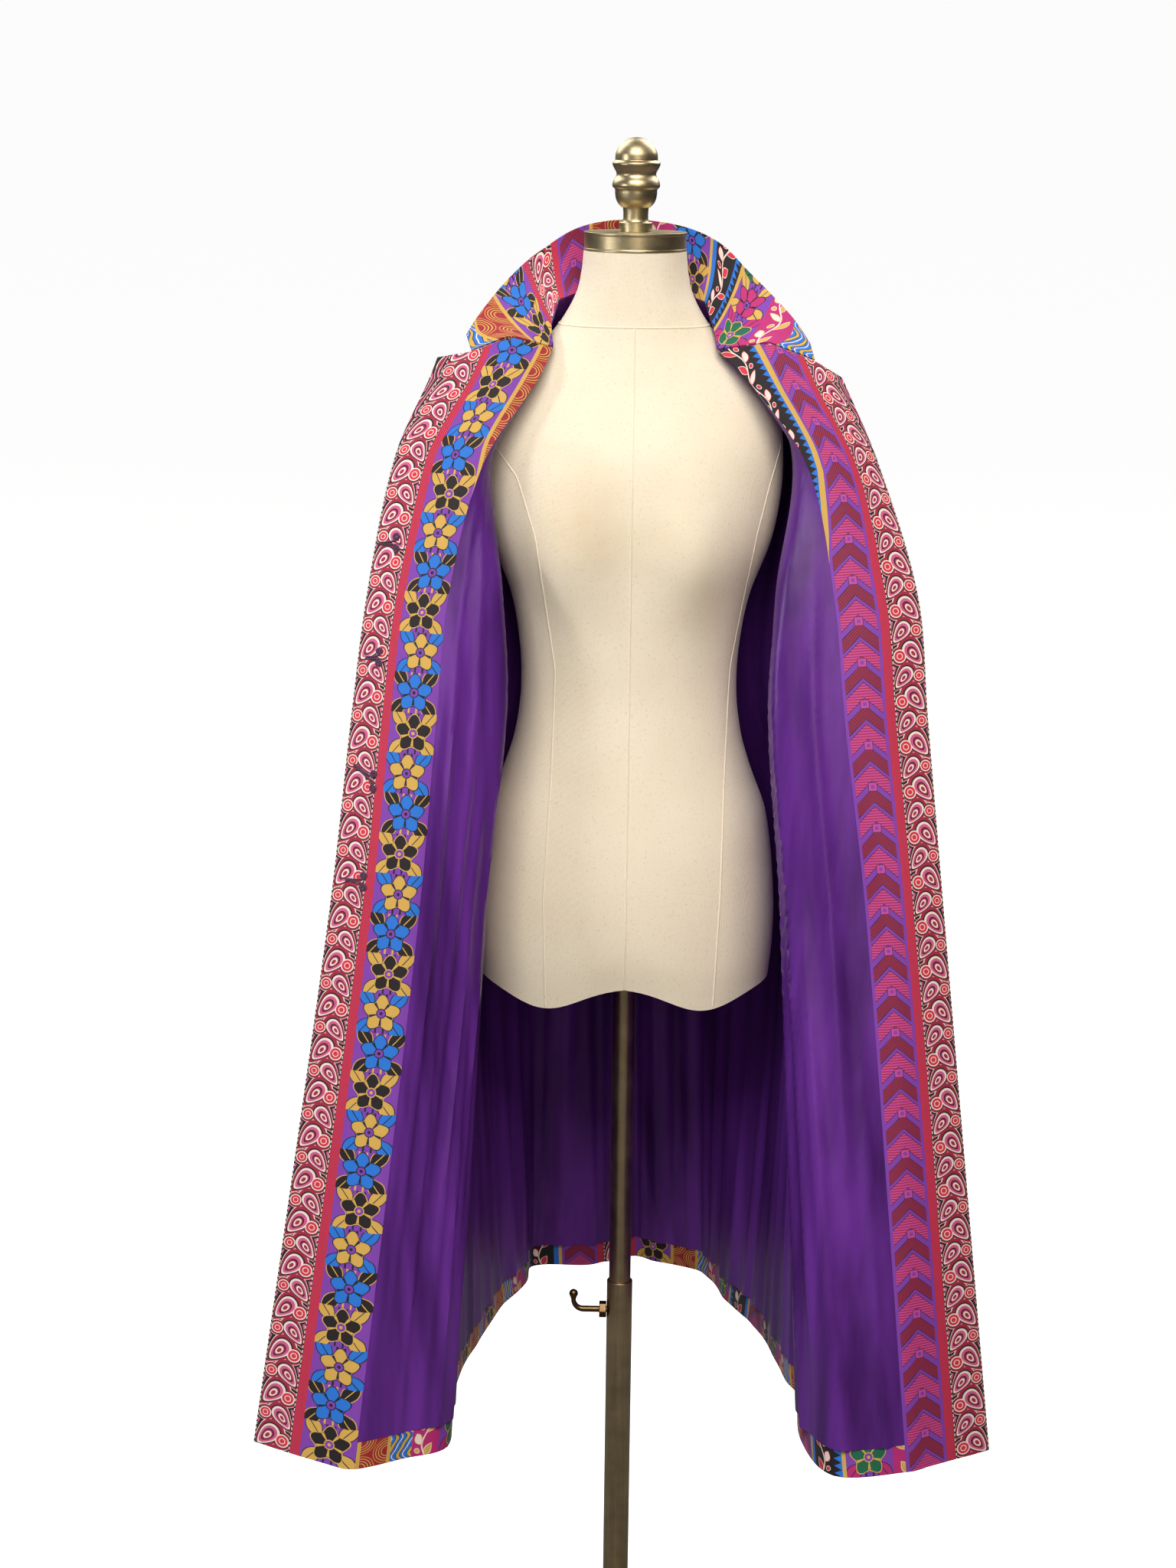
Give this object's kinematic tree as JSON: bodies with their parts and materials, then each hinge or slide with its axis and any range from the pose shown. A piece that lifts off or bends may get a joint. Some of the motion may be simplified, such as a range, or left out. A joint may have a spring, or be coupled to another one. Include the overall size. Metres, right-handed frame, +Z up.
{
  "type": "long brocade coat on a limbless dress form with stand",
  "caption": "Long open coat in banded brocade with purple satin lining, turned-up collar and corded frogs, on a cream dress form with a brass pole stand.",
  "frame": {"origin": "centre of the round base's flat underside, on the floor, with the pole on the Z axis", "axes": "+Z up along the pole, -Y the front of the form and coat, -X the wearer's right"},
  "size_m": [0.7695, 0.6019, 1.7208],
  "materials": {
    "bronzed_iron": "satin",
    "aged_brass": "satin",
    "cream_linen": "matte",
    "brocade_shell": "matte",
    "brocade_facing": "matte",
    "brocade_collar": "matte",
    "purple_satin": "satin",
    "aubergine_cord": "matte"
  },
  "bodies": {
    "stand": {"base": "bronzed_iron", "outer_tube": "aged_brass", "clamp_nut": "aged_brass"},
    "pole": {"inner_pole": "aged_brass"},
    "figure": {"torso": "cream_linen", "neck_cap": "aged_brass", "finial": "aged_brass", "front_right": "brocade_shell", "front_left": "brocade_shell", "back": "brocade_shell", "sleeve_right": "brocade_shell", "sleeve_left": "brocade_shell", "collar": "brocade_collar", "facing_right": "brocade_facing", "facing_left": "brocade_facing", "lining_front_right": "purple_satin", "lining_front_left": "purple_satin", "lining_back": "purple_satin", "hem_facing_right": "brocade_facing", "hem_facing_back": "brocade_facing", "hem_facing_left": "brocade_facing", "frog_1": "aubergine_cord", "frog_2": "aubergine_cord", "frog_3": "aubergine_cord", "frog_4": "aubergine_cord"},
    "clamp": {"clamp_screw": "aged_brass"}
  },
  "joints": [
    {"name": "height_slide", "type": "slide", "parent": "stand", "child": "pole", "axis": [0, 0, 1], "range_m": [-0.2, 0.12]},
    {"name": "figure_swivel", "type": "hinge", "parent": "pole", "child": "figure", "pos_m": [0, 0, 0.84], "axis": [0, 0, 1], "continuous": true},
    {"name": "clamp_turn", "type": "hinge", "parent": "stand", "child": "clamp", "pos_m": [-0.0142, 0, 0.44], "axis": [-1, 0, 0], "continuous": true}
  ]
}
